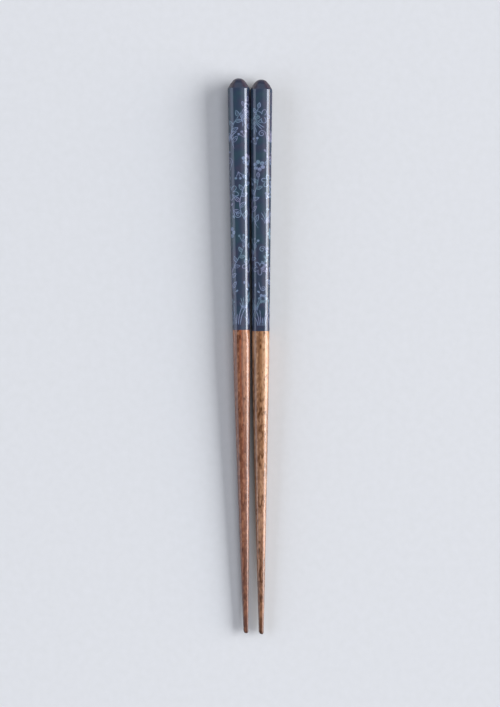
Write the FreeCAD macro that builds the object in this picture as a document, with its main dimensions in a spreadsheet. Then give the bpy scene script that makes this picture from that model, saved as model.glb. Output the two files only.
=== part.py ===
"""A pair of lacquered wooden chopsticks, lying side by side as they come to rest.

Millimetres, +Z up. The handles point towards +Y and the tips towards -Y. The origin is the
middle of the pair's footprint, on the surface that the sticks lie on.

Each stick is one piece of wood, planed to four wide flats with a bevel between each two. The
bevels are crowned by sanding, so each has an eased face on both sides of it. The stick tapers
slowly along the grip, faster from the knee to the neck and faster again to the tip. The
handle ends in a low faceted cap and the tip is eased. A stick lies on the flat under its
grip, which lifts the tip clear.
"""

import FreeCAD, Part
import Sketcher
import os

# Driving sizes, in millimetres, and the toe-in in degrees
SIZES = {
    # Along one stick, from the cap to the tip
    "stick_length": 230.0,  # top of the cap to the end of the tip
    "cap_length": 4.4,  # top of the cap to the shoulder
    "cap_break": 2.2,  # height above the shoulder where the cap's slope changes
    "grip_length": 119.0,  # shoulder to the knee
    "neck_length": 26.0,  # neck to the end of the tip
    "tip_end_length": 0.8,  # length over which the tip is rounded off
    # Across the flats, at each section along the stick
    "cap_top_width": 2.9,
    "cap_break_width": 6.7,
    "handle_width": 9.2,
    "knee_width": 6.95,
    "neck_width": 3.4,
    "tip_width": 2.1,
    "tip_end_width": 1.1,
    # What a bevel takes off a square corner there, along the flat
    "cap_top_bevel": 0.55,
    "cap_break_bevel": 1.28,
    "handle_bevel": 1.75,
    "knee_bevel": 1.32,
    "neck_bevel": 0.65,
    "tip_bevel": 0.4,
    "tip_end_bevel": 0.21,
    # Depth sanded off the edge between a flat and a bevel there
    "cap_top_ease": 0.06,
    "cap_break_ease": 0.137,
    "handle_ease": 0.188,
    "knee_ease": 0.142,
    "neck_ease": 0.07,
    "tip_ease": 0.043,
    "tip_end_ease": 0.022,
    # How the two sticks lie
    "side_gap": 0.1,  # between the two shoulders
    "left_lead": 0.5,  # how far the left stick lies ahead, towards its handle
    "left_toe_in": 0.78,  # turn of the left stick's tip towards the right one
}

# The sections from the cap to the tip, each with its distance from the one before. The
# stick's own origin lies in the shoulder, where the handle is widest.
DRAFT = "Sizes.stick_length - Sizes.cap_length - Sizes.grip_length - Sizes.neck_length"
SECTIONS = (
    ("cap_top", ""),
    ("cap_break", "Sizes.cap_length - Sizes.cap_break"),
    ("handle", "Sizes.cap_break"),
    ("knee", "Sizes.grip_length"),
    ("neck", DRAFT),
    ("tip", "Sizes.neck_length - Sizes.tip_end_length"),
    ("tip_end", "Sizes.tip_end_length"),
)
SHOULDER = [section for section, _ in SECTIONS].index("handle")

# Distance between two opposite faces of a section, for each kind of face. An eased face lies
# midway between its flat and its bevel, so it is turned 22.5 degrees from the flat.
FLAT = "Sizes.{at}_width"
BEVEL = "(Sizes.{at}_width - Sizes.{at}_bevel) * sqrt(2)"
EASED = (
    "Sizes.{at}_width * cos(22.5) + (Sizes.{at}_width - 2 * Sizes.{at}_bevel) * sin(22.5)"
    " - 2 * Sizes.{at}_ease"
)

# The kinds of face in the order in which they follow each other round the stick
ROUND_THE_STICK = (("Flat", FLAT), ("EasedAfterFlat", EASED), ("Bevel", BEVEL), ("EasedAfterBevel", EASED))
FACE_PAIRS = 2 * len(ROUND_THE_STICK)

# Sub-part, side it lies on (-1 left, +1 right) and the toe-in of its tip
STICKS = (
    ("left_chopstick", -1, "Sizes.left_toe_in"),
    ("right_chopstick", 1, "0"),
)

# How a sketch numbers its two axes and the two ends of a line
V_AXIS, H_AXIS = range(-2, 0)
START, END = range(1, 3)


def make_sheet(doc):
    """Spreadsheet of the driving sizes, one named cell each."""
    sheet = doc.addObject("Spreadsheet::Sheet", "Sizes")
    for row, (name, value) in enumerate(SIZES.items(), start=1):
        sheet.set(f"A{row}", name)
        sheet.set(f"B{row}", str(value))
        sheet.setAlias(f"B{row}", name)
    doc.recompute()
    return sheet


def draw_outline(sketch, sheet):
    """Rough closed outline of a stick: down the right side from the cap, then up the left."""
    half = sheet.handle_width / 2
    step = sheet.stick_length / len(SECTIONS)
    right = [FreeCAD.Vector(half, (SHOULDER - k) * step, 0) for k in range(len(SECTIONS))]
    left = [FreeCAD.Vector(-point.x, point.y, 0) for point in reversed(right)]
    points = right + left
    for here, following in zip(points, points[1:] + points[:1]):
        sketch.addGeometry(Part.LineSegment(here, following), False)
    return len(points)


def constrain_outline(sketch, lines, kind):
    """Close the outline, mirror it about the stick's axis and bind it to the sections."""
    for k in range(lines):
        sketch.addConstraint(Sketcher.Constraint("Coincident", k, END, (k + 1) % lines, START))
    sketch.addConstraint(Sketcher.Constraint("PointOnObject", SHOULDER, START, H_AXIS))
    for k, (section, distance) in enumerate(SECTIONS):
        opposite = lines - 1 - k
        sketch.addConstraint(Sketcher.Constraint("Symmetric", opposite, START, k, START, V_AXIS))
        across = sketch.addConstraint(Sketcher.Constraint("DistanceX", opposite, START, k, START, 1.0))
        sketch.setExpression(f"Constraints[{across}]", kind.format(at=section))
        if distance:
            along = sketch.addConstraint(Sketcher.Constraint("DistanceY", k, START, k - 1, START, 1.0))
            sketch.setExpression(f"Constraints[{along}]", distance)


def make_slab(doc, sheet, owner, pair):
    """Slab between one pair of opposite faces: the outline seen square to them, drawn thick."""
    name, kind = ROUND_THE_STICK[pair % len(ROUND_THE_STICK)]
    sketch = doc.addObject("Sketcher::SketchObject", f"{name}Outline_{owner}")
    lines = draw_outline(sketch, sheet)
    constrain_outline(sketch, lines, kind)
    sketch.Placement.Rotation = FreeCAD.Rotation(FreeCAD.Vector(0, 1, 0), pair * 180 / FACE_PAIRS)
    slab = doc.addObject("Part::Extrusion", f"{name}_{owner}")
    slab.Base = sketch
    slab.DirMode = "Normal"
    slab.Symmetric = True
    slab.Solid = True
    slab.setExpression("LengthFwd", "2 * Sizes.handle_width")
    return slab


def make_stick(doc, sheet, label, side, toe_in):
    """One chopstick: what its eight slabs share, laid on the flat under its grip."""
    stick = doc.addObject("Part::MultiCommon", f"Stick_{label}")
    stick.Label = label
    stick.Shapes = [make_slab(doc, sheet, label, pair) for pair in range(FACE_PAIRS)]

    # Rolled by half the grip's taper, so that the flat under the grip is level
    level = "atan((Sizes.handle_width - Sizes.knee_width) / 2 / Sizes.grip_length)"
    middle = "Sizes.stick_length / 2 - Sizes.cap_length"
    stick.setExpression("Placement.Rotation.Yaw", toe_in)
    stick.setExpression("Placement.Rotation.Roll", level)
    stick.setExpression("Placement.Base.x", f"{side} * (Sizes.handle_width + Sizes.side_gap) / 2")
    stick.setExpression("Placement.Base.y", f"{middle} - {side} * Sizes.left_lead / 2")
    stick.setExpression("Placement.Base.z", f"Sizes.handle_width / 2 * cos({level})")
    return stick


def check(doc, sticks):
    """Stop on any failed object, loose sketch or stick that isn't one valid solid."""
    for item in doc.Objects:
        if "Invalid" in item.State or "Error" in item.State:
            raise RuntimeError(f"{item.Name} failed: {item.State}")
        if item.TypeId == "Sketcher::SketchObject" and not item.FullyConstrained:
            raise RuntimeError(f"{item.Name} is not fully constrained")
    for stick in sticks:
        shape = stick.Shape
        if shape.isNull() or not shape.isValid() or len(shape.Solids) != 1:
            raise RuntimeError(f"{stick.Label} is not one valid solid")


def main():
    """Build the pair and write each stick to its own file."""
    doc = FreeCAD.newDocument("chopsticks")
    sheet = make_sheet(doc)
    sticks = [make_stick(doc, sheet, *rule) for rule in STICKS]
    doc.recompute()
    check(doc, sticks)
    os.makedirs("parts", exist_ok=True)
    for stick in sticks:
        stick.Shape.exportStep(f"parts/{stick.Label}.step")
        print(stick.Label, round(stick.Shape.Volume, 2), "mm3")


main()
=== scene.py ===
"""A pair of lacquered wooden chopsticks lying side by side, seen from straight above.

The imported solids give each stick's place and size. Over them go a finely shaped stick with
crowned bevels, a slate-blue lacquer on its handle and a varnish on its bare wood, and a plant
print in pale ink round the lacquer. Sizes are millimetres, turned to metres as a mesh is made.
"""

import logging
import math
from dataclasses import dataclass
from enum import Enum
from typing import Any, Callable

import bpy
import numpy as np
from mathutils import Matrix, Vector

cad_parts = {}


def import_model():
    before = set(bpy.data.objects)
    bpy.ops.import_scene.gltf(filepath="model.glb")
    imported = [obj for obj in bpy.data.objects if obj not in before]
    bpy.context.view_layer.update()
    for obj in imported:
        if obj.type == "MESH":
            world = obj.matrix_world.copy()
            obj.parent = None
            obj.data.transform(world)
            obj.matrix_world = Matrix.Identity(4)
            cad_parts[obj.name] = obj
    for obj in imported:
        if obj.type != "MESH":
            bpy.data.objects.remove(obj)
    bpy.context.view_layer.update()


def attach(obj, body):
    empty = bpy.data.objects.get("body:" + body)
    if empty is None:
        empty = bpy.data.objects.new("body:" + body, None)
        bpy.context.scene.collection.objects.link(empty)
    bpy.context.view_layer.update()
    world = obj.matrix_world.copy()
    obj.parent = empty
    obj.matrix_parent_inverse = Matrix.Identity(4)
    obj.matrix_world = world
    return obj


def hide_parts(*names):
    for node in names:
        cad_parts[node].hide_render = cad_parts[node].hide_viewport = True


log = logging.getLogger("chopsticks")

MM = 0.001
GRAIN = "grain"  # attribute: place in the stick's own wood, in millimetres
RIM = "rim"  # attribute: 1 on the worn rims of the cap
SAME_PLACE = 1e-6  # millimetres within which two places count as one
TAPER_STEP = 0.05  # distance to either side over which a width's change is measured
Array = np.ndarray
Colour = tuple[float, float, float, float]
Socket = bpy.types.NodeSocket
Input = Any  # what a node's input gets: a plain value, or the socket that feeds it


def linear(code: str) -> Colour:
    """Turn an sRGB hex colour into linear light.

    Args:
        code: The colour, such as "#3b4256".

    Returns:
        Red, green, blue and an alpha of 1, each channel put through the sRGB curve.
    """
    shares = [int(code[k : k + 2], 16) / 255 for k in (1, 3, 5)]
    light = [c / 12.92 if c <= 0.04045 else ((c + 0.055) / 1.055) ** 2.4 for c in shares]
    return (light[0], light[1], light[2], 1.0)


def grey(level: float) -> Colour:
    """A grey for a colour ramp that only carries a share."""
    return (level, level, level, 1.0)


def smooth_step(low: float, high: float, value: Array) -> Array:
    """Ramp from 0 at low to 1 at high, as 3t^2 - 2t^3."""
    t = np.clip((value - low) / (high - low), 0, 1)
    return t * t * (3 - 2 * t)


# Finishes


class Nodes:
    """The shader nodes of one material.

    Each method adds a node and returns the output that the next one is fed from.
    """

    def __init__(self, name: str) -> None:
        """Start the material, with no nodes.

        Args:
            name: The material's name.
        """
        self.material = bpy.data.materials.new(name)
        self.material.use_nodes = True
        self.tree = self.material.node_tree
        self.tree.nodes.clear()

    def add(
        self, kind: str, output: str, inputs: dict[str | int, Input] | None = None, **settings: Any
    ) -> Socket:
        """Add one node.

        Args:
            kind: The node's type, without its leading "ShaderNode".
            output: Which of its outputs is wanted.
            inputs: What each of its inputs gets.
            settings: The node's own properties.

        Returns:
            The output socket.
        """
        node = self.tree.nodes.new("ShaderNode" + kind)
        for name, value in settings.items():
            setattr(node, name, value)
        for name, value in (inputs or {}).items():
            if isinstance(value, Socket):
                self.tree.links.new(value, node.inputs[name])
            else:
                node.inputs[name].default_value = value
        return node.outputs[output]

    def attribute(self, name: str, output: str) -> Socket:
        """What one of the mesh's attributes says."""
        return self.add("Attribute", output, attribute_name=name)

    def noise(self, place: Input, scale: float, detail: float) -> Socket:
        """A cloudy value from 0 to 1, with so many clouds to a unit of the place."""
        return self.add("TexNoise", "Fac", {"Vector": place, "Scale": scale, "Detail": detail})

    def ramp(self, value: Input, *stops: tuple[float, Colour]) -> Socket:
        """Turn a value into a colour.

        Args:
            value: The value, from 0 to 1.
            stops: Values and the colours that they get, lowest value first.

        Returns:
            The socket with the colour.
        """
        colour = self.add("ValToRGB", "Color", {"Fac": value})
        elements = colour.node.color_ramp.elements
        for k, (place, paint) in enumerate(stops):
            stop = elements[k] if k < 2 else elements.new(place)
            stop.position = place
            stop.color = paint
        return colour

    def shown(self, value: Input, none_at: float, full_at: float, share: float = 1.0) -> Socket:
        """A share that is 0 where the value is none_at and full where it is full_at."""
        stops = sorted([(none_at, 0.0), (full_at, share)])
        return self.ramp(value, *((place, grey(level)) for place, level in stops))

    def mix(self, share: Input, under: Input, over: Input, blend: str = "MIX") -> Socket:
        """A colour with another one over it, as far as the share says."""
        colours = {"Fac": share, "Color1": under, "Color2": over}
        return self.add("MixRGB", "Color", colours, blend_type=blend)

    def maths(self, operation: str, *values: Input) -> Socket:
        """The result of one operation on single values."""
        return self.add("Math", "Value", dict(enumerate(values)), operation=operation)

    def mapped(
        self, value: Input, given: tuple[float, float], wanted: tuple[float, float] = (0.0, 1.0)
    ) -> Socket:
        """Move a value evenly from one range to another and hold it there.

        Args:
            value: The value.
            given: The two ends of its range.
            wanted: What they turn into.

        Returns:
            The socket with the moved value.
        """
        names = ("From Min", "From Max", "To Min", "To Max")
        return self.add("MapRange", "Result", {"Value": value, **dict(zip(names, given + wanted))})

    def bump(self, height: Input, depth: float, strength: float = 1.0, invert: bool = False) -> Socket:
        """The surface's normal, tilted as a relief of so many millimetres would tilt it."""
        relief = {"Height": height, "Distance": depth * MM, "Strength": strength}
        return self.add("Bump", "Normal", relief, invert=invert)

    def finish(self, inputs: dict[str, Input], kind: str = "BsdfPrincipled") -> bpy.types.Material:
        """Add the shader and lead it to the surface.

        Args:
            inputs: What each of its inputs gets.
            kind: Its type.

        Returns:
            The finished material.
        """
        shader = self.add(kind, "BSDF", inputs)
        output = self.tree.nodes.new("ShaderNodeOutputMaterial")
        self.tree.links.new(shader, output.inputs["Surface"])
        return self.material


@dataclass(frozen=True)
class UrethaneLacquer:
    """Slate-blue urethane lacquer, dipped and polished, as on the handles.

    To the eye it is a deep blue-grey under a wet gloss, cloudy with greener and mauver
    patches. The coat follows the wood with a faint orange peel, and on the bevels of the cap
    it is worn thin over a dark maroon primer.
    """

    name: str = "slate_blue_dipped_lacquer"
    colours: tuple[str, str, str] = ("#263841", "#273241", "#313140")  # greener to mauver
    colour_places: tuple[float, float, float] = (0.36, 0.5, 0.66)  # of the clouds' value
    primer: str = "#35202a"
    cloud_size: float = 5.0  # width of a cloud in the coat
    peel_size: float = 2.2  # width of one swelling of the orange peel
    peel_depth: float = 0.0005
    wear_patches: float = 1.4  # to a millimetre
    wear_from: float = 0.1  # wear at which the primer begins to show, and shows fully
    wear_full: float = 0.62
    gloss_roughness: float = 0.14
    ior: float = 1.5

    def build(self) -> bpy.types.Material:
        """Make the material.

        Returns:
            The new material.
        """
        nodes = Nodes(self.name)
        place = nodes.attribute(GRAIN, "Vector")
        clouds = nodes.noise(place, 1 / self.cloud_size, 3.0)
        body = nodes.ramp(clouds, *zip(self.colour_places, map(linear, self.colours)))
        patches = nodes.noise(place, self.wear_patches, 2.0)
        wear = nodes.maths("MULTIPLY", nodes.attribute(RIM, "Fac"), patches)
        worn = nodes.shown(wear, self.wear_from, self.wear_full)
        peel = nodes.noise(place, 1 / self.peel_size, 1.0)
        return nodes.finish(
            {
                "Base Color": nodes.mix(worn, body, linear(self.primer)),
                "Roughness": self.gloss_roughness,
                "IOR": self.ior,
                "Normal": nodes.bump(peel, self.peel_depth),
            }
        )


@dataclass(frozen=True)
class Figure:
    """One layer of a wood's figure: patches drawn out along the grain."""

    width: float  # of a patch, across the grain
    length: float
    detail: float = 1.0  # how many finer layers it has


@dataclass(frozen=True)
class Stripe:
    """A stripe of another tone that runs along the stick, on one side of it. It draws a streak in the
    wood, the darker heart that is partly painted shade on the left of the top, and the lighter sap that
    is partly painted light on its right.
    """

    colour: str
    left: float  # places across the stick between which it shows fully
    right: float
    share: float  # how much of its colour shows there


@dataclass(frozen=True)
class VarnishedWood:
    """Close-grained hardwood, planed, sanded and varnished, as on the bare part of a stick.

    To the eye it is brown with a long soft figure, dark short pores and flecks along the
    grain, and a gloss that is drier where the varnish has worn towards the tip. Painted shade
    darkens the left of the top and painted light brightens its right, as the heart and sap
    stripes. Its shares of the bare length run from 0 at the lacquer to 1 at the tip.
    """

    name: str
    tones: tuple[str, str, str, str]  # from the lacquer to the tip
    tip_darkening: str  # what the last stretch is multiplied by, darker towards the tip
    # partly a darker heartwood tone, partly painted shade on the left of the top, away from the window
    # lamp
    heart: Stripe
    sap_and_painted_light: Stripe  # lighter wood on the other side, partly painted light on the right of the top, toward the window lamp
    streak: Stripe
    warm: str  # colour of the warm bands in the figure
    shade: str  # colour of the dark bands
    pore: str
    fleck_from: float  # value of the crowded flecks at which one begins to show
    worn_from: float  # share of the bare length at which the varnish begins to be worn
    worn_roughness: float
    pore_share: float
    knots: tuple[tuple[float, float, float], ...]  # across, along and length of each
    stripe_fade: float = 0.6  # share of the bare length after which the stripes have faded
    tone_places: tuple[float, float, float, float] = (0.0, 0.38, 0.7, 1.0)
    tip_darkening_from: float = 0.5
    bands: Figure = Figure(1.5, 46.0, 2.0)
    band_share: float = 0.7
    mottles: Figure = Figure(0.8, 1.9)  # small lighter and darker patches within a band
    mottle_share: float = 0.42
    lighter_at: tuple[float, float] = (0.5, 0.66)  # values at which a tone has gone and is full
    darker_at: tuple[float, float] = (0.47, 0.34)
    fibres: Figure = Figure(0.26, 4.5, 2.0)  # drawn about four times as wide as real ones
    fibres_at: tuple[float, float] = (0.7, 0.3)
    fibre_share: float = 0.35
    pores: Figure = Figure(0.3, 4.2, 0.0)  # drawn about twice as wide, so that they show
    pores_at: tuple[float, float] = (0.6, 0.74)
    pore_depth: float = 0.002
    pore_relief: float = 0.6  # strength of the pores' relief
    flecks: Figure = Figure(0.85, 2.4)
    clusters: Figure = Figure(3.5, 13.0)  # patches that have many flecks
    crowding: float = 0.6  # how much a cluster adds to its flecks
    fleck_ramp: float = 0.08
    fleck_share: float = 0.75
    knot_narrowness: float = 2.5  # times that a knot is longer than it is wide
    knots_at: tuple[float, float] = (0.5, 0.2)  # of its length, away from its middle
    knot_share: float = 0.95
    stripe_edge: float = 0.5  # distance over which a stripe runs out
    stripe_left: float = 0.05  # what is left of the stripes where they have faded
    drift: float = 1.3  # how far the stripes wander across the stick
    drifts: Figure = Figure(4.0, 34.0)
    fresh_roughness: float = 0.13
    amber: str = "#ffeadb"  # what the aged varnish turns its reflections to
    ior: float = 1.5

    def build(self, bare_from: float, bare_to: float) -> bpy.types.Material:
        """Make the material.

        Args:
            bare_from: Distance from the shoulder at which the bare wood begins.
            bare_to: Distance at which it ends.

        Returns:
            The new material.
        """
        nodes = WoodNodes(self, bare_from, bare_to)
        bands, mottles = nodes.pattern(self.bands), nodes.pattern(self.mottles)
        fibre = nodes.shown(nodes.pattern(self.fibres), *self.fibres_at, self.fibre_share)
        pore = nodes.shown(nodes.pattern(self.pores), *self.pores_at, self.pore_share)
        layers = [
            # the sap stripe: partly painted light on the right of the top
            (nodes.stripe(self.sap_and_painted_light), self.sap_and_painted_light.colour),
            (nodes.shown(bands, *self.lighter_at, self.band_share), self.warm),
            # the heart stripe: partly painted shade on the left of the top
            (nodes.stripe(self.heart), self.heart.colour),
            (nodes.shown(mottles, *self.lighter_at, self.mottle_share), self.sap_and_painted_light.colour),
            (nodes.shown(bands, *self.darker_at, self.band_share), self.shade),
            (nodes.stripe(self.streak), self.streak.colour),
            (nodes.shown(mottles, *self.darker_at, self.mottle_share), self.shade),
            (fibre, self.shade),
            (nodes.fleck(), self.pore),
            (pore, self.pore),
        ]
        layers += [(nodes.knot(*knot), self.pore) for knot in self.knots]
        colour = nodes.ramp(nodes.along, *zip(self.tone_places, map(linear, self.tones)))
        for share, paint in layers:
            colour = nodes.mix(share, colour, linear(paint))
        tip_darkening_share = nodes.mapped(nodes.along, (self.tip_darkening_from, 1.0))
        roughness = (self.fresh_roughness, self.worn_roughness)
        return nodes.finish(
            {
                "Base Color": nodes.mix(tip_darkening_share, colour, linear(self.tip_darkening), "MULTIPLY"),
                "Roughness": nodes.mapped(nodes.along, (self.worn_from, 1.0), roughness),
                "Specular Tint": linear(self.amber),
                "IOR": self.ior,
                "Normal": nodes.bump(pore, self.pore_depth, self.pore_relief, invert=True),
            }
        )


class WoodNodes(Nodes):
    """The nodes of a varnished wood, with the parts that its layers are made of."""

    HALF_ACROSS = 5.0  # distance to either side of the stick's middle that the stripes take in

    def __init__(self, wood: VarnishedWood, bare_from: float, bare_to: float) -> None:
        """Start the material and find where in the wood each point lies.

        Args:
            wood: What it is made for.
            bare_from: Distance from the shoulder at which the bare wood begins.
            bare_to: Distance at which it ends.
        """
        super().__init__(wood.name)
        self.wood = wood
        self.place = self.attribute(GRAIN, "Vector")
        axes = self.add("SeparateXYZ", "X", {"Vector": self.place}).node.outputs
        self.along = self.mapped(axes["Y"], (-bare_from, -bare_to))
        wander = self.mapped(self.pattern(wood.drifts), (0.0, 1.0), (-wood.drift, wood.drift))
        bent = self.maths("ADD", wander, axes["X"])
        self.across = self.mapped(bent, (-self.HALF_ACROSS, self.HALF_ACROSS))
        self.fade = self.mapped(self.along, (0.0, wood.stripe_fade), (1.0, wood.stripe_left))

    def pattern(self, figure: Figure) -> Socket:
        """The noise of one layer of the figure, from 0 to 1."""
        scale = (1 / figure.width, 1 / figure.length, 1 / figure.width)
        scaled = self.add("Mapping", "Vector", {"Vector": self.place, "Scale": scale})
        return self.noise(scaled, 1.0, figure.detail)

    def stripe(self, stripe: Stripe) -> Socket:
        """Share of a stripe's colour: full between its two places, running out beyond.

        Args:
            stripe: The stripe.

        Returns:
            The socket with the share.
        """
        edge = self.wood.stripe_edge
        places = (stripe.left - edge, stripe.left, stripe.right, stripe.right + edge)
        shares = [0.5 + place / (2 * self.HALF_ACROSS) for place in places]
        levels = map(grey, (0.0, stripe.share, stripe.share, 0.0))
        return self.maths("MULTIPLY", self.ramp(self.across, *zip(shares, levels)), self.fade)

    def fleck(self) -> Socket:
        """Share of the dark flecks, which crowd together in clusters.

        Returns:
            The socket with the share.
        """
        wood = self.wood
        clusters, flecks = self.pattern(wood.clusters), self.pattern(wood.flecks)
        crowded = self.maths("MULTIPLY_ADD", clusters, wood.crowding, flecks)
        full_at = min(wood.fleck_from + wood.fleck_ramp, 1.0)
        return self.shown(crowded, wood.fleck_from, full_at, wood.fleck_share)

    def knot(self, across: float, along: float, length: float) -> Socket:
        """Share of a small dark knot, a long ellipse: strong in its middle, gone at its edge.

        Args:
            across: Its place across the stick.
            along: Its distance from the shoulder.
            length: Its length.

        Returns:
            The socket with the share.
        """
        size = (self.wood.knot_narrowness / length, 1 / length, 0.0)
        middle = (-across * size[0], along * size[1], 0.0)
        inputs = {"Vector": self.place, "Location": middle, "Scale": size}
        moved = self.add("Mapping", "Vector", inputs)
        away = self.add("VectorMath", "Value", {0: moved}, operation="LENGTH")
        return self.shown(away, *self.wood.knots_at, self.wood.knot_share)


@dataclass(frozen=True)
class TransferInk:
    """Pale ink of a heat transfer, laid over the lacquer and polished with it.

    To the eye it is a thin grey-blue line, greener or mauver in places, that lets some of the
    lacquer through where the film printed thinly.
    """

    name: str = "pale_transfer_ink"
    colours: tuple[str, str, str] = ("#5a6e78", "#6a768c", "#6c677b")  # greener to mauver
    colour_places: tuple[float, float, float] = (0.38, 0.5, 0.68)  # of the patches' value
    thin: str = "#353f50"
    patch_size: float = 7.0  # length of one tint
    thin_size: float = 1.5  # length of a thinly printed stretch
    thin_at: tuple[float, float] = (0.52, 0.68)  # values at which a stretch begins and is full
    thin_share: float = 0.8
    gloss_roughness: float = 0.15
    ior: float = 1.5

    def build(self) -> bpy.types.Material:
        """Make the material.

        Returns:
            The new material.
        """
        nodes = Nodes(self.name)
        place = nodes.attribute(GRAIN, "Vector")
        patches = nodes.noise(place, 1 / self.patch_size, 1.0)
        tint = nodes.ramp(patches, *zip(self.colour_places, map(linear, self.colours)))
        thin = nodes.shown(nodes.noise(place, 1 / self.thin_size, 3.0), *self.thin_at, self.thin_share)
        colour = nodes.mix(thin, tint, linear(self.thin))
        return nodes.finish({"Base Color": colour, "Roughness": self.gloss_roughness, "IOR": self.ior})


@dataclass(frozen=True)
class MattBoard:
    """Pale matt board under the sticks, with a faint tooth.

    It looks pale, also in a gloss, but throws back only as much light as a brown one would.
    """

    name: str = "pale_matt_board"
    colour: str = "#cfccc7"
    tooth: str = "#c9c6c0"
    bounce: str = "#7c6a58"  # what the light that it throws on the sticks is coloured by
    tooth_size: float = 3.0
    roughness: float = 0.5

    def build(self) -> bpy.types.Material:
        """Make the material.

        Returns:
            The new material.
        """
        nodes = Nodes(self.name)
        place = nodes.add("TexCoord", "Object")
        tooth = nodes.noise(place, 1 / (self.tooth_size * MM), 3.0)
        colour = nodes.mix(tooth, linear(self.colour), linear(self.tooth))
        rays = nodes.add("LightPath", "Is Camera Ray").node.outputs
        seen = nodes.maths("MAXIMUM", rays["Is Camera Ray"], rays["Is Glossy Ray"])
        clear = nodes.maths("MAXIMUM", seen, rays["Is Transmission Ray"])
        lit = nodes.mix(clear, linear(self.bounce), colour)
        return nodes.finish({"Color": lit, "Roughness": self.roughness}, "BsdfDiffuse")


# Shape of a stick


@dataclass(frozen=True)
class Outline:
    """Closed outline of a stick's section, for a width of 1 across the flats.

    The outline is a convex curve told by how its radius changes as its normal turns. From the
    middle of the top to the middle of a side the normal turns 90 degrees: along the flat,
    which is crowned very slightly, round a ridge, along the bevel, round the other ridge and
    along the side's flat. The point at each turn is the running sum of radius times the
    change of (sin turn, cos turn). The two ridges get the radii that make the whole 1 wide
    and 1 high.
    """

    top_half: float = 0.236  # half the width of the top and bottom flats
    side_half: float = 0.236  # and of the flats at the sides
    flat_turn: float = 3.5  # degrees that the normal turns from a flat's middle to its ridge
    bevel_from: float = 27.0  # degrees between which the bevel lies
    bevel_to: float = 63.0
    bevel_radius: float = 0.53
    flat_steps: int = 3
    ridge_steps: int = 5
    bevel_steps: int = 16

    def limits(self) -> list[float]:
        """Turns at which the flat, the ridge, the bevel, the other ridge and the side's flat end."""
        return [self.flat_turn, self.bevel_from, self.bevel_to, 90 - self.flat_turn, 90]

    def turns(self) -> Array:
        """Turn of the normal at each point, once round from the middle of the top.

        Returns:
            The turns in radians.
        """
        ends = [0.0, *self.limits()]
        steps = (self.flat_steps, self.ridge_steps, self.bevel_steps, self.ridge_steps, self.flat_steps)
        parts = [np.linspace(a, b, n, endpoint=False) for a, b, n in zip(ends, ends[1:], steps)]
        quarter = np.concatenate([*parts, [90]])
        half = np.concatenate([quarter[:-1], (180 - quarter[::-1])[:-1]])
        return np.radians(np.concatenate([half, half + 180]))

    def radii(self) -> Array:
        """Radius along the flat, the ridge, the bevel, the other ridge and the side's flat.

        Returns:
            The five radii.
        """
        ends = np.radians([0.0, *self.limits()])
        spans = np.stack([np.diff(np.sin(ends)), -np.diff(np.cos(ends))])
        flat_sine = math.sin(math.radians(self.flat_turn))
        known = np.array([self.top_half / flat_sine, 0, self.bevel_radius, 0, self.side_half / flat_sine])
        ridges = np.linalg.solve(spans[:, [1, 3]], 0.5 - spans @ known)
        known[[1, 3]] = ridges
        return known

    def points(self) -> tuple[Array, Array]:
        """Places of the outline's points.

        Returns:
            An array of x and z, clockwise from the middle of the top, and the distance along
            the outline at each point with the whole length last.
        """
        turn = self.turns()
        following = np.append(turn[1:], 2 * math.pi)
        middle = np.degrees((turn + following) / 2)
        from_top = np.abs((middle + 90) % 180 - 90)
        radius = self.radii()[np.searchsorted(self.limits()[:-1], from_top)]
        step_x = radius * (np.sin(following) - np.sin(turn))
        step_z = radius * (np.cos(following) - np.cos(turn))
        x = np.append(0, np.cumsum(step_x)[:-1])
        z = 0.5 + np.append(0, np.cumsum(step_z)[:-1])
        along = np.append(0, np.cumsum(np.hypot(step_x, step_z)))
        return np.stack([x, z], axis=1), along


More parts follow.
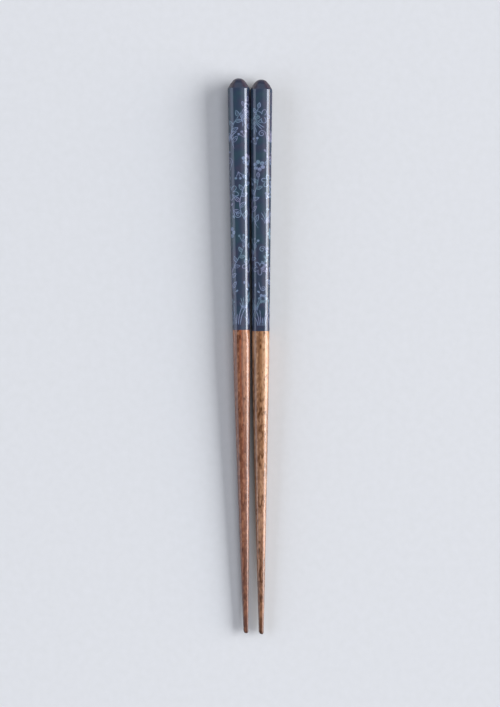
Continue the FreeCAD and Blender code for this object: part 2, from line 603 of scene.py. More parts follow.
@dataclass(frozen=True)
class StickShape:
    """Sizes of one stick along its length, the same as the solids have.

    A place along the stick is its distance from the shoulder, where the handle is widest. The
    cap lies at negative distances.
    """

    stick_length: float = 230.0
    cap_length: float = 4.4
    cap_break: float = 2.2
    grip_length: float = 119.0
    neck_length: float = 26.0
    tip_end_length: float = 0.8
    cap_top_width: float = 2.9
    cap_break_width: float = 6.7
    handle_width: float = 9.2
    knee_width: float = 6.95
    neck_width: float = 3.4
    tip_width: float = 2.1
    tip_end_width: float = 1.1
    lacquer_length: float = 99.7  # shoulder to the lacquer's edge
    lacquer_thickness: float = 0.04
    lacquer_edge: float = 0.25  # length over which the coat runs out
    print_room: float = 0.012  # how far the coat is drawn in, so that the print stays inside
    cap_dome_radius: float = 3.0
    tip_dome_radius: float = 4.0
    softness: float = 0.1  # how much sanding has taken off a corner of the outline
    rings: tuple[int, ...] = (44, 80, 17, 190, 22)  # in the cap, the grip, the edge, the wood, the tip
    cap_stretch: float = 6.0  # length of the cap's rings
    grip_short: float = 0.5  # how far before the lacquer's edge the grip's rings end
    edge_half: float = 0.4  # half the length of the edge's rings
    bare_late: float = 0.6  # how far after the edge the bare wood's rings begin
    bare_short: float = 1.6  # and how far before the end of the tip they end
    tip_stretch: float = 1.5

    @property
    def end(self) -> float:
        """Distance from the shoulder to the end of the tip."""
        return self.stick_length - self.cap_length

    def sections(self) -> Array:
        """The sections of the solid.

        Returns:
            A row with the place and the width of each, from the cap to the tip.
        """
        return np.array(
            [
                (-self.cap_length, self.cap_top_width),
                (-self.cap_break, self.cap_break_width),
                (0.0, self.handle_width),
                (self.grip_length, self.knee_width),
                (self.end - self.neck_length, self.neck_width),
                (self.end - self.tip_end_length, self.tip_width),
                (self.end, self.tip_end_width),
            ]
        )

    def width(self, s: Array) -> Array:
        """Width across the flats at each place.

        The solid's width is the least of the straight lines through its sections, because it
        bulges everywhere. The least is taken softly, as -a ln(sum of e^(-w / a)), so that each
        corner is rounded and none stands out of the solid. A dome closes each end.

        Args:
            s: Places along the stick.

        Returns:
            The widths in millimetres.
        """
        section = self.sections()
        slope = np.diff(section[:, 1]) / np.diff(section[:, 0])
        lines = section[:-1, 1] + slope * (s[..., None] - section[:-1, 0])
        domes = [
            self.dome(s + self.cap_length, self.cap_dome_radius),
            self.dome(self.end - s, self.tip_dome_radius),
        ]
        limits = np.concatenate([lines, np.stack(domes, axis=-1)], axis=-1)
        least = limits.min(axis=-1)
        spread = np.exp(-(limits - least[..., None]) / self.softness).sum(axis=-1)
        return np.maximum(least - self.softness * np.log(spread) * np.clip(least, 0, 1), 0)

    @staticmethod
    def dome(depth: Array, radius: float) -> Array:
        """Width of a dome at a depth below its top, twice the square root of 2 radius depth."""
        return 2 * np.sqrt(2 * radius * np.clip(depth, 0, None))

    def stations(self) -> Array:
        """Places of the rings: close together at the cap, the lacquer's edge and the tip.

        Returns:
            The places, from the cap to the tip.
        """
        in_cap, in_grip, at_edge, in_bare, in_tip = self.rings
        cap = -self.cap_length + self.cap_stretch * np.linspace(0, 1, in_cap)[1:] ** 2
        grip = np.linspace(cap[-1], self.lacquer_length - self.grip_short, in_grip)[1:]
        edge = self.lacquer_length + np.linspace(-self.edge_half, self.edge_half, at_edge)
        bare = np.linspace(self.lacquer_length + self.bare_late, self.end - self.bare_short, in_bare)
        tip = self.end - self.tip_stretch * np.linspace(1, 0, in_tip)[:-1] ** 2
        return np.concatenate([cap, grip, edge, bare, tip])


class Side(Enum):
    """Which of the two sticks, with the sign of its place across."""

    LEFT = -1
    RIGHT = 1

    @property
    def word(self) -> str:
        """The side's name, as it stands in the names of pieces."""
        return self.name.lower()


@dataclass
class Chopstick:
    """One stick: its shape, where it lies, how evenly it was sanded and its wood."""

    side: Side
    wood: VarnishedWood
    toe_in: float  # degrees by which its tip is turned towards the other stick
    lead: float  # how far it lies ahead, towards its handle
    tip_slant: float  # how much shorter the left side of the tip's end is
    twist: float  # degrees by which the bare wood is turned next to the lacquer, right on top
    end_twist: float  # and by which it is turned further down, to the tip
    bow: float  # how far the middle of the stick is bowed to the left
    lean: float  # and how far its tip is
    sanding_seed: int
    side_gap: float = 0.1
    lacquer_waves: float = 0.0025  # depth of the waves that sanding left, inward only
    wood_waves: float = 0.045
    wave_count: int = 6
    wave_span: tuple[float, float] = (9, 26)  # lengths of the shortest and the longest wave
    most_rounds: int = 3  # waves once round the stick
    most_inset: float = 0.2  # share of the width that the surface is drawn in by at most
    slant_length: float = 2.2  # of the stretch at the tip that is cut off aslant
    # Distances past the lacquer's edge between which something of the bare wood comes in
    planed: tuple[float, float] = (0.0, 4.0)  # its outline
    sanded: tuple[float, float] = (0.0, 6.0)  # its waves
    twisted: tuple[float, float] = (-20.0, 8.0)
    twisted_on: tuple[float, float] = (10.0, 60.0)
    # Wear of the cap
    rim_span: tuple[float, float] = (0.5, -0.7)  # places between which it comes in
    rim_bevel: tuple[float, float] = (0.2, 0.34)  # quarter turns from a flat's middle to its bevel
    flat_wear: float = 0.3  # wear of the cap's flats
    shape: StickShape = StickShape()
    outline: Outline = Outline()
    bare_outline: Outline = Outline(
        top_half=0.215, side_half=0.262, bevel_from=24, bevel_to=48, bevel_radius=0.72
    )

    def __post_init__(self) -> None:
        """Draw the waves of the surface and work out the outlines, of the coat and the wood."""
        rng = np.random.default_rng(self.sanding_seed)
        self.wave_lengths = rng.uniform(*self.wave_span, self.wave_count)
        self.wave_rounds = rng.integers(1, self.most_rounds + 1, self.wave_count)
        self.wave_phases = rng.uniform(0, 2 * math.pi, (self.wave_count, 2))
        coated, self.around = self.outline.points()
        bare = self.bare_outline.points()[0]
        self.sections = [np.concatenate([points, points[:1]]) for points in (coated, bare)]
        self.turns = [np.append(line.turns(), 2 * math.pi) for line in (self.outline, self.bare_outline)]

    @property
    def name(self) -> str:
        """The piece's name."""
        return f"{self.side.word}_stick"

    @property
    def node(self) -> str:
        """The solid that the piece stands for."""
        return f"{self.side.word}_chopstick"

    @property
    def perimeter(self) -> float:
        """Length of the outline for a width of 1."""
        return float(self.around[-1])

    def waves(self, s: Array, round_share: Array) -> Array:
        """Depth that sanding took off, from 0 to 1.

        Each wave is a sine along the stick times a sine round it. The depth follows their mean.

        Args:
            s: Places along the stick.
            round_share: Places round the outline, from 0 to 1.

        Returns:
            The depths as shares of the deepest.
        """
        along = 2 * math.pi * s[..., None] / self.wave_lengths + self.wave_phases[:, 0]
        about = 2 * math.pi * round_share[..., None] * self.wave_rounds + self.wave_phases[:, 1]
        return 0.5 + 0.5 * (np.sin(along) * np.sin(about)).mean(axis=-1)

    def coat(self, s: Array) -> Array:
        """Thickness of the lacquer: full on the handle, running out over its edge."""
        edge, half = self.shape.lacquer_length, self.shape.lacquer_edge / 2
        return self.shape.lacquer_thickness * (1 - smooth_step(edge - half, edge, s))

    def comes_in(self, span: tuple[float, float], s: Array) -> Array:
        """Share from 0 to 1 that rises between two distances past the lacquer's edge."""
        edge = self.shape.lacquer_length
        return smooth_step(edge + span[0], edge + span[1], s)

    def unit(self, s: Array, round_share: Array) -> tuple[Array, Array, Array]:
        """The outline at each place, for a width of 1.

        It runs from the coat's outline to the bare wood's over the first few millimetres of
        bare wood. It is turned by the first twist, which sets in under the lacquer's end, and
        that runs over into the second about the knee. The turned outline is raised until its
        lowest ridge is where the flat was.

        Args:
            s: Places along the stick.
            round_share: Places round the outline, from 0 to 1, of the same shape.

        Returns:
            The x, the z and the turn of the normal.
        """
        distance = np.mod(round_share, 1) * self.perimeter
        bare = self.comes_in(self.planed, s)
        coated_line, bare_line = (
            [np.interp(distance, self.around, row) for row in (*section.T, turn)]
            for section, turn in zip(self.sections, self.turns)
        )
        x, z, turn = (a + (b - a) * bare for a, b in zip(coated_line, bare_line))
        further = (self.end_twist - self.twist) * self.comes_in(self.twisted_on, s)
        twist = np.radians(self.twist * self.comes_in(self.twisted, s) + further)
        raised = self.outline.top_half * np.abs(np.sin(twist))
        turned_x = x * np.cos(twist) + z * np.sin(twist)
        turned_z = z * np.cos(twist) - x * np.sin(twist) + raised
        return turned_x, turned_z, turn + twist

    def aside(self, s: Array) -> Array:
        """How far the stick's middle lies to the left: a half wave and a straight lean."""
        share = np.clip(s / self.shape.end, 0, 1)
        return self.bow * np.sin(math.pi * share) + self.lean * share

    def surface(self, s: Array, round_share: Array, lift: Array | float = 0.0) -> Array:
        """Points on the stick, in its own frame.

        The outline at each place is the unit outline times the width there, drawn in along
        its own normal by the sanding waves and by what the lacquer is thinner than its full
        thickness.

        Args:
            s: Places along the stick.
            round_share: Places round the outline, from 0 to 1, of the same shape.
            lift: How far above the surface the points lie.

        Returns:
            An array with x, y and z last, in millimetres.
        """
        shape = self.shape
        unit_x, unit_z, turn = self.unit(s, round_share)
        width = shape.width(s)
        bare = self.comes_in(self.sanded, s)
        depth = self.lacquer_waves + (self.wood_waves - self.lacquer_waves) * bare
        inset = depth * self.waves(s, round_share) + shape.lacquer_thickness - self.coat(s)
        inset = np.minimum(inset + shape.print_room, self.most_inset * width)
        ending = smooth_step(shape.end - self.slant_length, shape.end, s)
        shorter = self.tip_slant * ending * (0.5 - unit_x * width / shape.tip_width)
        out = lift - inset
        return np.stack(
            [
                unit_x * width + out * np.sin(turn) - self.aside(s),
                shorter - s,
                unit_z * width + out * np.cos(turn),
            ],
            axis=-1,
        )

    def normals(self, s: Array, round_share: Array) -> Array:
        """Directions that face out of the stick, in the scene's frame.

        The unit outline's normal is (sin turn, cos turn). Along the stick it leans by the
        change of width times the outline's distance from the axis, measured along the normal.

        Args:
            s: Places along the stick.
            round_share: Places round the outline, of the same shape.

        Returns:
            Unit vectors, with x, y and z last.
        """
        unit_x, unit_z, turn = self.unit(s, round_share)
        sine, cosine = np.sin(turn), np.cos(turn)
        taper = (self.shape.width(s + TAPER_STEP) - self.shape.width(s - TAPER_STEP)) / (2 * TAPER_STEP)
        local = np.stack([sine, taper * (unit_x * sine + unit_z * cosine), cosine], axis=-1)
        turned = local @ np.array(self.placement())[:3, :3].T
        return turned / np.linalg.norm(turned, axis=-1, keepdims=True)

    def placement(self) -> Matrix:
        """Where the stick lies: rolled until its grip lies flat, turned in and moved aside.

        Returns:
            The matrix from the stick's own frame to the scene's, both in millimetres.
        """
        shape = self.shape
        level = math.atan((shape.handle_width - shape.knee_width) / 2 / shape.grip_length)
        middle = shape.stick_length / 2 - shape.cap_length
        place = Vector(
            (
                self.side.value * (shape.handle_width + self.side_gap) / 2,
                middle + self.lead,
                shape.handle_width / 2 * math.cos(level),
            )
        )
        turn = Matrix.Rotation(math.radians(self.toe_in), 4, "Z")
        roll = Matrix.Rotation(level, 4, "X")
        return Matrix.Translation(place) @ turn @ roll

    def placed(self, points: Array) -> Array:
        """Points of the stick's own frame, moved to where the stick lies, in metres."""
        matrix = np.array(self.placement())
        return (points @ matrix[:3, :3].T + matrix[:3, 3]) * MM

    def rim_wear(self, s: Array, round_share: Array) -> Array:
        """Wear of the lacquer at the cap: 1 on its bevels, less on its flats, 0 on the handle.

        Args:
            s: Places along the stick.
            round_share: Places round the outline.

        Returns:
            A share from 0 to 1.
        """
        from_flat = np.abs((round_share * 4 + 0.5) % 1 - 0.5)
        bevel = (1 - self.flat_wear) * smooth_step(*self.rim_bevel, from_flat)
        return smooth_step(*self.rim_span, s) * (self.flat_wear + bevel)

    def build(self, lacquer: bpy.types.Material) -> bpy.types.Object:
        """Make the stick as one closed mesh, lacquered at its handle.

        Args:
            lacquer: The handle's finish.

        Returns:
            The new object.
        """
        s = self.shape.stations()
        share = self.around[:-1] / self.perimeter
        rings, steps = np.meshgrid(s, share, indexing="ij")
        local = self.surface(rings, steps)
        poles = self.surface(np.array([-self.shape.cap_length, self.shape.end]), np.zeros(2))
        poles[:, 0] = [0, -self.lean]
        poles[:, 2] = 0
        points = np.concatenate([local.reshape(-1, 3), poles])
        columns = len(share)
        index, beside, sides = tube(len(s), columns, 0)
        first = np.stack([index[0], beside[0], np.full(columns, index.size)], axis=-1)
        last = np.stack([beside[-1], index[-1], np.full(columns, index.size + 1)], axis=-1)
        mesh = self.mesh(self.name, points, sides + first.tolist() + last.tolist())
        bare = np.repeat(s[:-1] >= self.shape.lacquer_length - SAME_PLACE, columns)
        slots = np.concatenate([bare, np.zeros(columns), np.ones(columns)]).astype(np.int32)
        mesh.polygons.foreach_set("material_index", slots)
        wear = np.append(self.rim_wear(rings, steps).ravel(), [0, 0])
        mesh.attributes.new(RIM, "FLOAT", "POINT").data.foreach_set("value", wear)
        wood = self.wood.build(self.shape.lacquer_length, self.shape.end)
        piece = add_piece(self.name, mesh, [lacquer, wood])
        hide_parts(self.node)
        return piece

    def mesh(self, name: str, points: Array, faces: list[list[int]]) -> bpy.types.Mesh:
        """Make a smooth mesh on the stick, with the place in the wood stored at each point.

        Args:
            name: Its name.
            points: Its points in the stick's own frame, in millimetres.
            faces: The points of each face.

        Returns:
            The new mesh.
        """
        mesh = bpy.data.meshes.new(name)
        mesh.from_pydata(self.placed(points).tolist(), [], faces)
        mesh.polygons.foreach_set("use_smooth", np.ones(len(faces), dtype=bool))
        mesh.attributes.new(GRAIN, "FLOAT_VECTOR", "POINT").data.foreach_set("vector", points.ravel())
        return mesh


def tube(rows: int, columns: int, start: int) -> tuple[Array, Array, list[list[int]]]:
    """Faces of a tube of rings.

    Args:
        rows: How many rings it has.
        columns: How many points each ring has.
        start: Number of its first point.

    Returns:
        The number of each point, the number of the point beside it in its ring, and the
        corners of each face.
    """
    index = start + np.arange(rows * columns).reshape(rows, columns)
    beside = np.roll(index, -1, axis=1)
    sides = np.stack([index[:-1], index[1:], beside[1:], beside[:-1]], axis=-1)
    return index, beside, sides.reshape(-1, 4).tolist()


def add_piece(name: str, mesh: bpy.types.Mesh, finishes: list[bpy.types.Material]) -> bpy.types.Object:
    """Put a finished mesh into the scene as a piece of the object.

    Args:
        name: The piece's name.
        mesh: Its mesh, already where it lies.
        finishes: Its materials, in the order of the mesh's slots.

    Returns:
        The new object.
    """
    mesh.validate()
    mesh.update()
    for finish in finishes:
        mesh.materials.append(finish)
    piece = bpy.data.objects.new(name, mesh)
    bpy.context.scene.collection.objects.link(piece)
    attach(piece, "root")
    return piece


# The print


@dataclass(frozen=True)
class Line:
    """One drawn line: its points on the flat sheet and its half width at each."""

    points: Array
    half_width: Array
    filled: bool = False

    def moved(
        self, turn: float = 0.0, size: float = 1.0, place: tuple[float, float] = (0.0, 0.0)
    ) -> "Line":
        """The line turned, scaled and then moved. A pen line keeps its width.

        Args:
            turn: Degrees from the first axis towards the second.
            size: What it is scaled by.
            place: Where its origin goes.

        Returns:
            The new line.
        """
        angle = math.radians(turn)
        spin = np.array([[math.cos(angle), math.sin(angle)], [-math.sin(angle), math.cos(angle)]])
        half_width = self.half_width * (size if self.filled else 1)
        return Line(self.points * size @ spin + np.array(place), half_width, self.filled)


PEN = 0.155  # half the width of a drawn line
THIN_PEN = 0.7 * PEN
THINNED = 0.12  # share of a drawn line over which each of its ends thins


def curve(first: Array, second: Array | float) -> Array:
    """Points on the flat sheet, from their places along its two axes."""
    return np.stack(np.broadcast_arrays(first, second), axis=1)


def pen_line(points: Array, ends: float = 0.35, half_width: float = PEN) -> Line:
    """A drawn line that thins towards its ends.

    Args:
        points: Its points, first to last.
        ends: Share of the full width that is left at the ends.
        half_width: Half its full width.

    Returns:
        The line.
    """
    t = np.linspace(0, 1, len(points))
    full = np.clip(np.minimum(t, 1 - t) / THINNED, 0, 1)
    return Line(points, half_width * (ends + (1 - ends) * full))


def blot(length: float, width: float, count: int = 13) -> Line:
    """A filled leaf shape from the origin along the first axis.

    Its half width is that of an ellipse: the square root of 1 - (2t - 1)^2, times half the
    width.

    Args:
        length: Its length.
        width: Its greatest width.
        count: How many points its middle line has.

    Returns:
        The shape as one wide line.
    """
    open_end = 0.06  # share of half a turn left off, so that an end isn't a point
    t = (1 - np.cos(np.linspace(open_end, 1 - open_end, count) * math.pi)) / 2
    return Line(curve(t * length, 0.0), width / 2 * np.sqrt(1 - (2 * t - 1) ** 2), True)


def leaf(length: float = 3.4, width: float = 1.5) -> list[Line]:
    """An outlined leaf with its middle rib, from the origin along the first axis.

    Each side is half the width times the sine of pi t^0.8, at share t of the length.

    Args:
        length: Its length.
        width: Its greatest width.

    Returns:
        Its lines.
    """
    t = np.linspace(0, 1, 22)
    bulge = width / 2 * np.sin(math.pi * t**0.8)
    there, back = curve(t * length, bulge), curve(t[::-1] * length, -bulge[::-1])
    rib = curve(np.linspace(0, 0.7 * length, 8), 0.0)
    return [pen_line(np.concatenate([there, back[1:]])), pen_line(rib, 0.2, THIN_PEN)]


def sprig(length: float = 18.0, leaves: int = 9, bend: float = 1.8) -> list[Line]:
    """A curved stem with leaves on alternate sides, smaller towards its end.

    The stem's height is the bend times the sine of 1.5 pi t, at share t of its length. A leaf
    leans away from the stem's own heading there, whose tangent is the slope of that sine.

    Args:
        length: The stem's length.
        leaves: How many leaves it has.
        bend: How far it swings to a side.

    Returns:
        Its lines.
    """
    wave = 1.5 * math.pi
    first_leaf, spread, lean = 0.12, 0.84, 52  # shares of the stem, and degrees
    t = np.linspace(0, 1, 40)
    lines = [pen_line(curve(t * length, bend * np.sin(wave * t)))]
    for k in range(leaves):
        at = first_leaf + spread * k / (leaves - 1)
        foot = (at * length, bend * math.sin(wave * at))
        heading = math.degrees(math.atan(bend * wave * math.cos(wave * at) / length))
        turn = 0 if k == leaves - 1 else (lean if k % 2 else -lean)
        for line in leaf(3.0 - 1.1 * at, 1.3 - 0.4 * at):
            lines.append(line.moved(heading + turn, place=foot))
    return lines


def blossom(radius: float = 2.6, petals: int = 5) -> list[Line]:
    """An open flower: outlined petals round a ring of stamens.

    Each petal is a loop whose radius is the flower's, and whose width is a sine.

    Args:
        radius: The flower's radius.
        petals: How many petals it has.

    Returns:
        Its lines.
    """
    heart, petal_share = 0.28, 0.94  # of the radius, and of the room that a petal has
    t = np.linspace(0, 1, 26)
    reach = radius * (heart + (1 - heart) * np.sin(math.pi * t) ** 0.7)
    swing = (t - 0.5) * 2 * math.pi / petals * petal_share
    petal = pen_line(curve(reach * np.cos(swing), reach * np.sin(swing)), 0.5)
    stamen = blot(0.36, 0.36, 7).moved(place=(0.3 * radius, 0.0))
    lines = []
    for k in range(petals):
        lines += [petal.moved(360 * k / petals), stamen.moved(360 * (k + 0.5) / petals)]
    return lines


def full_blossom(radius: float = 2.3, petals: int = 6) -> list[Line]:
    """A flower whose petals are filled with ink, round a bare middle."""
    petal = blot(0.7 * radius, 0.62 * radius).moved(place=(0.3 * radius, 0.0))
    return [petal.moved(360 * k / petals) for k in range(petals)]


def tendril(length: float = 7.0, turns: float = 1.4) -> list[Line]:
    """A stem that ends in a curl: a parabola, then a spiral that closes in evenly.

    Args:
        length: What it is sized by. The stem takes up 0.6 of it.
        turns: How often the curl goes round.

    Returns:
        Its one line.
    """
    t = np.linspace(0, 1, 44)
    angle = 2 * math.pi * turns * t
    radius = 0.22 * length * (1 - 0.8 * t)
    curl = curve(radius * np.sin(angle), radius[0] - radius * np.cos(angle))
    stem = curve(np.linspace(-0.6 * length, 0, 12), np.linspace(0.8, 0, 12) ** 2)
    return [pen_line(np.concatenate([stem[:-1], curl]))]


def berries(count: int = 3, spread: float = 34.0) -> list[Line]:
    """A fan of short stalks, each with a round berry.

    Args:
        count: How many there are.
        spread: Degrees between two stalks.

    Returns:
        Its lines.
    """
    stalk = pen_line(curve(np.linspace(0, 2.2, 8), 0.0), 0.6, THIN_PEN)
    berry = blot(0.95, 0.95, 9).moved(place=(2.1, 0.0))
    turns = [spread * (k - (count - 1) / 2) for k in range(count)]
    return [line.moved(turn) for turn in turns for line in (stalk, berry)]


def grasses(blades: int = 6, foot_gap: float = 0.75) -> list[Line]:
    """A tuft of bent blades, each a parabola that leans further than the one before.

    Args:
        blades: How many there are.
        foot_gap: Distance between the feet of two blades.

    Returns:
        Its lines.
    """
    t = np.linspace(0, 1, 22)
    lines = []
    for k in range(blades):
        aside = k - (blades - 1) / 2
        reach = 6.5 + 2.4 * math.sin(2.1 * k + 0.6)
        lean = 1.9 * aside / blades
        lines.append(pen_line(curve(reach * t, foot_gap * aside + lean * reach * 0.5 * t**2), 0.25))
    return lines


def drifting_petals() -> list[Line]:
    """Three loose petals, filled and turned different ways."""
    places = ((0.0, 0.0, 20), (2.6, 1.9, 75), (4.4, -1.2, -35))
    return [blot(1.4, 0.75, 9).moved(turn, place=(a, b)) for a, b, turn in places]


class Motif(Enum):
    """The plants that the print is made of."""

    SPRIG = "sprig"
    BLOSSOM = "blossom"
    FULL_BLOSSOM = "full_blossom"
    TENDRIL = "tendril"
    BERRIES = "berries"
    GRASSES = "grasses"
    PETALS = "petals"

    def draw(self) -> list[Line]:
        """Draw the motif.

        Returns:
            Its lines, about its own origin.
        """
        pens: dict[Motif, Callable[[], list[Line]]] = {
            Motif.SPRIG: sprig,
            Motif.BLOSSOM: blossom,
            Motif.FULL_BLOSSOM: full_blossom,
            Motif.TENDRIL: tendril,
            Motif.BERRIES: berries,
            Motif.GRASSES: grasses,
            Motif.PETALS: drifting_petals,
        }
        return pens[self]()


@dataclass(frozen=True)
class Placed:
    """A motif on the flat sheet: along from the shoulder, across, its turn and its size."""

    motif: Motif
    along: float
    across: float
    turn: float
    size: float = 1.0


@dataclass
class TransferPrint:
    """The plant print round one lacquered handle.

    The print is one narrow sheet that repeats side by side round the stick, each repeat moved
    along a little. It is drawn in millimetres on the sheet, whose first axis runs from the
    shoulder to the tip and whose second runs round the stick.
    """

    stick: Chopstick
    rolled: float  # share of a turn by which the sheet starts round the stick
    repeats: int = 2
    sheet_width: float = 13.2  # sizes the sheet for the middle of the handle
    repeat_shift: float = 3.0  # how far a repeat is moved along at the shoulder
    shift_end: float = 96.0  # where along the handle that has run out
    point_spacing: float = 0.22
    fewest_points: int = 6  # in a line
    height: float = 0.008  # of the ink above the lacquer
    depth: float = 0.03  # of its foot below
    crown: float = 0.33  # share of the half width to which the two inner points of a ribbon lie
    motifs: tuple[Placed, ...] = (
        Placed(Motif.SPRIG, 25.0, -2.4, 172, 1.15),
        Placed(Motif.BLOSSOM, 8.5, 3.9, 15, 1.1),
        Placed(Motif.TENDRIL, 15.5, 5.0, 195, 0.9),
        Placed(Motif.BERRIES, 20.5, 1.6, 205, 1.05),
        Placed(Motif.PETALS, 22.5, 4.4, 25, 1.1),
        Placed(Motif.FULL_BLOSSOM, 29.5, 2.6, 10, 1.05),
        Placed(Motif.TENDRIL, 30.5, -3.4, 165, 1.05),
        Placed(Motif.BLOSSOM, 36.0, 6.2, 40, 1.0),
        Placed(Motif.BERRIES, 34.5, -1.0, 15, 1.1),
        Placed(Motif.SPRIG, 56.0, 2.4, 186, 1.2),
        Placed(Motif.BLOSSOM, 43.0, -4.0, 0, 1.2),
        Placed(Motif.PETALS, 48.0, 5.6, 70, 1.1),
        Placed(Motif.TENDRIL, 52.5, -2.6, 20, 0.95),
        Placed(Motif.FULL_BLOSSOM, 59.5, -4.8, 30, 1.1),
        Placed(Motif.BERRIES, 63.5, 0.4, 172, 1.1),
        Placed(Motif.TENDRIL, 64.5, 5.2, 200, 0.85),
        Placed(Motif.SPRIG, 85.0, -3.4, 174, 1.15),
        Placed(Motif.BLOSSOM, 73.0, 3.0, 0, 1.1),
        Placed(Motif.PETALS, 79.5, 1.0, -20, 1.0),
        Placed(Motif.FULL_BLOSSOM, 86.0, 4.4, 30, 0.95),
        Placed(Motif.GRASSES, 97.6, -3.0, 180, 1.1),
        Placed(Motif.GRASSES, 97.6, 3.9, 180, 0.85),
        Placed(Motif.GRASSES, 10.5, 0.6, 35, 0.6),
        Placed(Motif.GRASSES, 22.0, -5.8, 165, 0.65),
        Placed(Motif.TENDRIL, 26.5, 6.0, 15, 0.7),
        Placed(Motif.BERRIES, 43.5, 5.4, 150, 0.9),
        Placed(Motif.GRASSES, 54.0, 6.2, 190, 0.65),
        Placed(Motif.SPRIG, 76.0, 6.0, 184, 0.6),
        Placed(Motif.TENDRIL, 82.0, 3.4, 25, 0.7),
        Placed(Motif.GRASSES, 91.0, 0.9, 178, 0.6),
        Placed(Motif.BERRIES, 89.5, -5.6, 160, 0.95),
    )

    @property
    def name(self) -> str:
        """The piece's name."""
        return f"{self.stick.side.word}_print"

    def lines(self) -> list[Line]:
        """Draw every motif of every repeat on the flat sheet.

        Returns:
            The lines, with their points evenly spaced.
        """
        found = []
        for repeat in range(self.repeats):
            for placed in self.motifs:
                along = placed.along + self.repeat_shift * repeat * (1 - placed.along / self.shift_end)
                across = placed.across + self.sheet_width * repeat
                for line in placed.motif.draw():
                    found.append(self.spaced(line.moved(placed.turn, placed.size, (along, across))))
        return found

    def spaced(self, line: Line) -> Line:
        """The same line with points about as far apart as the spacing.

        Args:
            line: The line as it was drawn.

        Returns:
            The line with its new points.
        """
        steps = np.linalg.norm(np.diff(line.points, axis=0), axis=1)
        along = np.append(0, np.cumsum(steps))
        count = max(self.fewest_points, int(along[-1] / self.point_spacing))
        at = np.linspace(0, along[-1], count)
        points = np.stack([np.interp(at, along, line.points[:, k]) for k in range(2)], axis=1)
        return Line(points, np.interp(at, along, line.half_width), line.filled)

    def ribbon(self, line: Line) -> tuple[Array, Array]:
        """A grid of points over one line: six across, from one foot over the top to the other.

        Each point lies off the middle line by its share of the half width, square to the
        line, and above or below the lacquer by its height.

        Args:
            line: The line, on the flat sheet.

        Returns:
            Points in the stick's own frame and the normals there, shaped (along, across, 3).
        """
        ahead = np.gradient(line.points, axis=0)
        ahead /= np.maximum(np.linalg.norm(ahead, axis=1, keepdims=True), SAME_PLACE)
        square = curve(-ahead[:, 1], ahead[:, 0])
        shares = np.array([-1.0, -1.0, -self.crown, self.crown, 1.0, 1.0])
        lifts = np.array([-self.depth, *[self.height] * 4, -self.depth])
        offset = line.half_width[:, None] * shares
        flat = line.points[:, None, :] + square[:, None, :] * offset[..., None]
        turn = self.rolled + flat[..., 1] / (self.repeats * self.sheet_width)
        lift = np.broadcast_to(lifts, turn.shape)
        return self.stick.surface(flat[..., 0], turn, lift), self.stick.normals(flat[..., 0], turn)

    def build(self, ink: bpy.types.Material) -> bpy.types.Object:
        """Make the print as closed ribbons that follow the stick's surface.

        Args:
            ink: Its finish.

        Returns:
            The new object.
        """
        points, normals, faces, start = [], [], [], 0
        for line in self.lines():
            grid, facing = self.ribbon(line)
            index, _, sides = tube(*grid.shape[:2], start)
            faces += [*sides, index[0].tolist(), index[-1, ::-1].tolist()]
            points.append(grid.reshape(-1, 3))
            normals.append(facing.reshape(-1, 3))
            start += index.size
        mesh = self.stick.mesh(self.name, np.concatenate(points), faces)
        piece = add_piece(self.name, mesh, [ink])
        mesh.normals_split_custom_set_from_vertices(np.concatenate(normals).tolist())
        return piece


# Stage


@dataclass(frozen=True)
class Softbox:
    """A plain rectangular lamp, told by the part of the sky that it fills.

    Angles are degrees. Azimuth 0 is towards the right of the sticks and 90 towards their
    handles. The radiance is what a mirror would show of it, where 1 is white.
    """

    name: str
    lowest: float
    highest: float
    azimuth: float
    spread: float
    radiance: float
    colour: str = "#ffffff"
    distance: float = 4.0

    def build(self) -> bpy.types.Object:
        """Make the lamp, square to the line from the sticks to its middle and out of sight.

        Returns:
            The new object.
        """
        elevation = math.radians((self.lowest + self.highest) / 2)
        azimuth = math.radians(self.azimuth)
        level = math.cos(elevation)
        way = Vector((level * math.cos(azimuth), level * math.sin(azimuth), math.sin(elevation)))
        lamp = bpy.data.lights.new(self.name, "AREA")
        lamp.shape = "RECTANGLE"
        lamp.size = 2 * self.distance * math.tan(math.radians(self.spread / 2))
        lamp.size_y = 2 * self.distance * math.tan(math.radians((self.highest - self.lowest) / 2))
        lamp.energy = self.radiance * math.pi * lamp.size * lamp.size_y
        lamp.color = linear(self.colour)[:3]
        holder = bpy.data.objects.new(self.name, lamp)
        holder.location = way * self.distance
        holder.rotation_euler = way.to_track_quat("Z", "Y").to_euler()
        holder.visible_camera = False
        bpy.context.scene.collection.objects.link(holder)
        return holder


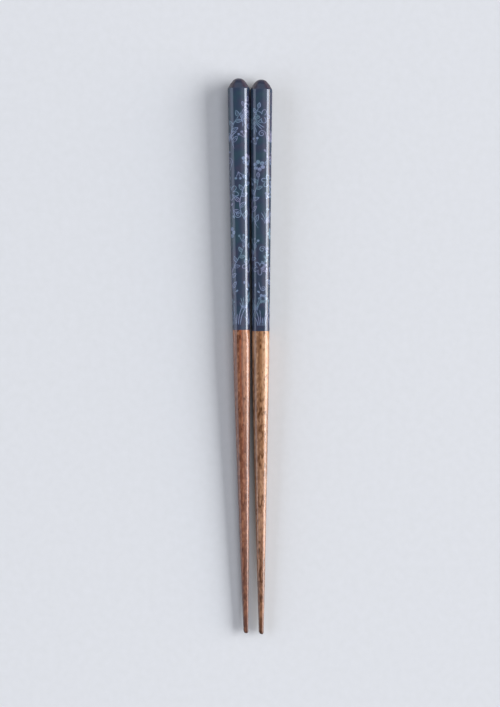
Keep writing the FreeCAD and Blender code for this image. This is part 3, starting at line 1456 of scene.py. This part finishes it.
@dataclass
class Studio:
    """The pale floor, the lamps and the camera straight above."""

    floor_size: float = 12000.0
    room_light: float = 0.15
    camera_height: float = 900.0
    camera_aim: tuple[float, float] = (0.0, 1.4)
    view_height: float = 292.5  # of the ground that the frame takes in, at the sticks
    focus_height: float = 4.6
    sensor: float = 36.0
    lamps: tuple[Softbox, ...] = (
        Softbox("window", 14, 40, 0, 50, 14.5, "#ebf2ff"),
        Softbox("sill", 1, 13.5, 0, 50, 8.5, "#fff4ea"),
        Softbox("ceiling", 56, 87, 0, 80, 1.6, "#e2ecff"),
        Softbox("fill", 1, 43, 180, 80, 2.9, "#d8e4ff"),
        Softbox("far_end", 10, 50, 90, 60, 0.6, "#f0f0ff"),
    )

    def build(self) -> None:
        """Put up the floor, the lamps, the room's light and the camera."""
        self.build_floor()
        for lamp in self.lamps:
            lamp.build()
        self.build_room()
        self.build_camera()

    def build_floor(self) -> None:
        """A plain square at height 0."""
        half = self.floor_size / 2 * MM
        corners = [(-half, -half, 0), (half, -half, 0), (half, half, 0), (-half, half, 0)]
        mesh = bpy.data.meshes.new("floor")
        mesh.from_pydata(corners, [], [(0, 1, 2, 3)])
        mesh.materials.append(MattBoard().build())
        floor = bpy.data.objects.new("floor", mesh)
        bpy.context.scene.collection.objects.link(floor)

    def build_room(self) -> None:
        """An even grey room, which lights the sides that no lamp reaches."""
        world = bpy.data.worlds.new("room")
        world.use_nodes = True
        background = world.node_tree.nodes["Background"]
        background.inputs["Color"].default_value = grey(1.0)
        background.inputs["Strength"].default_value = self.room_light
        bpy.context.scene.world = world

    def build_camera(self) -> None:
        """A long lens that looks straight down, with the handles at the top of the frame."""
        camera = bpy.data.cameras.new("camera")
        camera.sensor_width = self.sensor
        reach = self.camera_height - self.focus_height
        camera.lens = self.sensor * reach / self.view_height
        holder = bpy.data.objects.new("camera", camera)
        holder.location = (self.camera_aim[0] * MM, self.camera_aim[1] * MM, self.camera_height * MM)
        bpy.context.scene.collection.objects.link(holder)
        bpy.context.scene.camera = holder


REDDISH_WOOD = VarnishedWood(
    name="reddish_varnished_hardwood",
    tones=("#99694e", "#623a2a", "#784c38", "#4c3024"),
    tip_darkening="#c8b4ac",
    # heart: partly painted shade on the left of the top, along its ridge
    heart=Stripe("#4c2716", -1.8, -1.45, 1.0),
    # sap: partly painted light on the right of the top
    sap_and_painted_light=Stripe("#b27e5c", 0.9, 2.6, 0.6),
    streak=Stripe("#9e4612", -0.85, -0.35, 0.55),
    warm="#8a5236",
    shade="#543021",
    pore="#42210f",
    fleck_from=0.99,
    worn_from=0.45,
    worn_roughness=0.45,
    pore_share=0.25,
    knots=((-0.9, 102.6, 2.8), (0.4, 128.0, 1.5)),
    stripe_fade=0.42,
)

TAN_WOOD = VarnishedWood(
    name="tan_varnished_hardwood",
    tones=("#a37a58", "#825d45", "#9f765c", "#5e4234"),
    tip_darkening="#c6b4aa",
    # heart: partly painted shade on the left of the top
    heart=Stripe("#6f462b", -1.5, -0.5, 0.8),
    # sap: partly painted light on the right of the top
    sap_and_painted_light=Stripe("#cc9e76", 0.9, 2.6, 0.75),
    streak=Stripe("#a87448", -0.2, 0.4, 0.6),
    warm="#9c6e48",
    shade="#67432b",
    pore="#4c2a10",
    fleck_from=0.89,
    worn_from=0.5,
    worn_roughness=0.34,
    pore_share=0.3,
    knots=(
        (-0.3, 106.0, 2.6),
        (-0.2, 128.4, 2.2),
        (0.1, 131.8, 2.6),
        (-0.7, 133.6, 2.2),
        (-0.9, 152.0, 2.4),
        (0.4, 151.6, 2.5),
        (-0.6, 154.8, 2.5),
        (-0.4, 224.6, 3.4),
    ),
)

LEFT_STICK = Chopstick(
    Side.LEFT,
    REDDISH_WOOD,
    toe_in=0.78,
    lead=0.25,
    tip_slant=0.35,
    twist=2.6,
    end_twist=1.0,
    bow=0.27,
    lean=0.1,
    sanding_seed=3,
    bare_outline=Outline(top_half=0.24, side_half=0.27, bevel_from=26, bevel_to=42, bevel_radius=0.7),
)

RIGHT_STICK = Chopstick(
    Side.RIGHT,
    TAN_WOOD,
    toe_in=0.0,
    lead=-0.25,
    tip_slant=0.6,
    twist=-4.4,
    end_twist=-6.5,
    bow=0.17,
    lean=0.0,
    sanding_seed=8,
)


def main() -> None:
    """Build the pair and its stage, and note the size of both models."""
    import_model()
    lacquer = UrethaneLacquer().build()
    ink = TransferInk().build()
    for stick, rolled in ((LEFT_STICK, 0.02), (RIGHT_STICK, 0.37)):
        for piece in (stick.build(lacquer), TransferPrint(stick, rolled).build(ink)):
            log.info("%s: %d faces", piece.name, len(piece.data.polygons))
    Studio().build()
    bpy.context.scene.view_settings.view_transform = "Standard"


if __name__ == "__main__":
    logging.basicConfig(level=logging.INFO)
    main()
